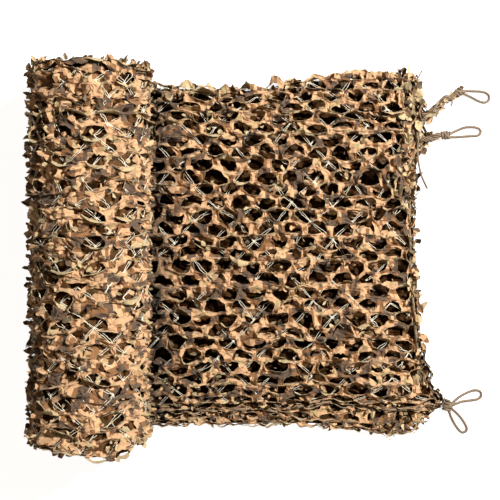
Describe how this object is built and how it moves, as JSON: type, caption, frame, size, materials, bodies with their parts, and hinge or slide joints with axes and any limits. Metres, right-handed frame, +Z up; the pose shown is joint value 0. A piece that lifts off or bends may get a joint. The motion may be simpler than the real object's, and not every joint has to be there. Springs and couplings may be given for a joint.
{
  "type": "partly rolled camouflage netting",
  "caption": "Camouflage netting of die-cut printed cloth, folded lengthwise and wound into a roll, with its loose end laid flat and rope loops at the corners.",
  "frame": {"origin": "on the floor, under the middle of the netting without its four rope loops", "axes": "+X from the roll towards the loose end, +Y along the roll towards the netting's folded edge, +Z up"},
  "size_m": [0.9038, 0.7388, 0.2243],
  "materials": {
    "printed_cloth": "woven synthetic cloth, printed, matt",
    "twisted_rope": "twisted synthetic rope, dull",
    "net_string": "thin synthetic string, slightly shiny"
  },
  "bodies": {
    "root": {"net_roll": "printed_cloth", "net_loose_end": "printed_cloth", "end_rope": "twisted_rope", "rim_rope": "twisted_rope", "tail_far": "printed_cloth", "tail_mid": "printed_cloth", "knot_far": "twisted_rope", "knot_mid": "twisted_rope", "knot_near": "twisted_rope", "loop_far_upper": "twisted_rope", "loop_far_lower": "twisted_rope", "loop_near_upper": "twisted_rope", "loop_near_lower": "twisted_rope"}
  },
  "joints": []
}
